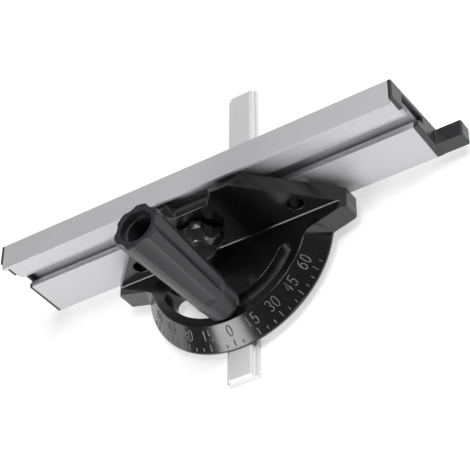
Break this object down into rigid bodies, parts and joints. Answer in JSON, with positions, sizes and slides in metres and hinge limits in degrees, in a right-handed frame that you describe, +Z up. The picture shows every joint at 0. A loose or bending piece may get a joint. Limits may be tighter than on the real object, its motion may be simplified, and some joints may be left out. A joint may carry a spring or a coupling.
{
  "type": "miter gauge",
  "caption": "Table saw miter gauge: steel guide bar, swinging black protractor head with clamp handle, and an aluminium fence drawn up by a star knob.",
  "frame": {"origin": "on the head's pivot axis at the level of the guide bar's top face, which is table level", "axes": "+Z up, +Y along the guide bar towards the work, +X along the fence towards its stop block"},
  "size_m": [0.3544, 0.2667, 0.132],
  "materials": {
    "bar_steel": "satin",
    "head_black": "gloss",
    "fence_aluminium": "satin",
    "cap_plastic": "matte",
    "handle_plastic": "satin",
    "knob_plastic": "gloss",
    "zinc_steel": "zinc plated",
    "insert_brass": "machined"
  },
  "bodies": {
    "bar": {"guide_bar": "bar_steel", "clamp_stud": "zinc_steel", "clamp_washer": "zinc_steel"},
    "head": {"protractor_head": "head_black", "pivot_bush": "zinc_steel", "pivot_washer": "zinc_steel", "pivot_screw": "zinc_steel", "tee_bolt": "zinc_steel", "tee_washer": "zinc_steel"},
    "handle": {"clamp_handle": "handle_plastic", "handle_nut": "zinc_steel"},
    "knob": {"star_knob": "knob_plastic", "star_knob_insert": "insert_brass", "star_knob_cap": "knob_plastic"},
    "fence": {"fence_profile": "fence_aluminium", "fence_cap_left": "cap_plastic", "fence_cap_right": "cap_plastic"}
  },
  "joints": [
    {"name": "head_swing", "type": "hinge", "parent": "bar", "child": "head", "pos_m": [0, 0, 0], "axis": [0, 0, 1], "range_deg": [-60, 60]},
    {"name": "handle_turn", "type": "hinge", "parent": "bar", "child": "handle", "pos_m": [0, -0.0537, 0], "axis": [0, 0, 1], "range_deg": [0, 360]},
    {"name": "knob_turn", "type": "hinge", "parent": "head", "child": "knob", "pos_m": [-0.0078, 0, 0.0399], "axis": [0, -1, 0], "range_deg": [0, 360]},
    {"name": "fence_slide", "type": "slide", "parent": "head", "child": "fence", "axis": [1, 0, 0], "range_m": [-0.065, 0.065]}
  ]
}
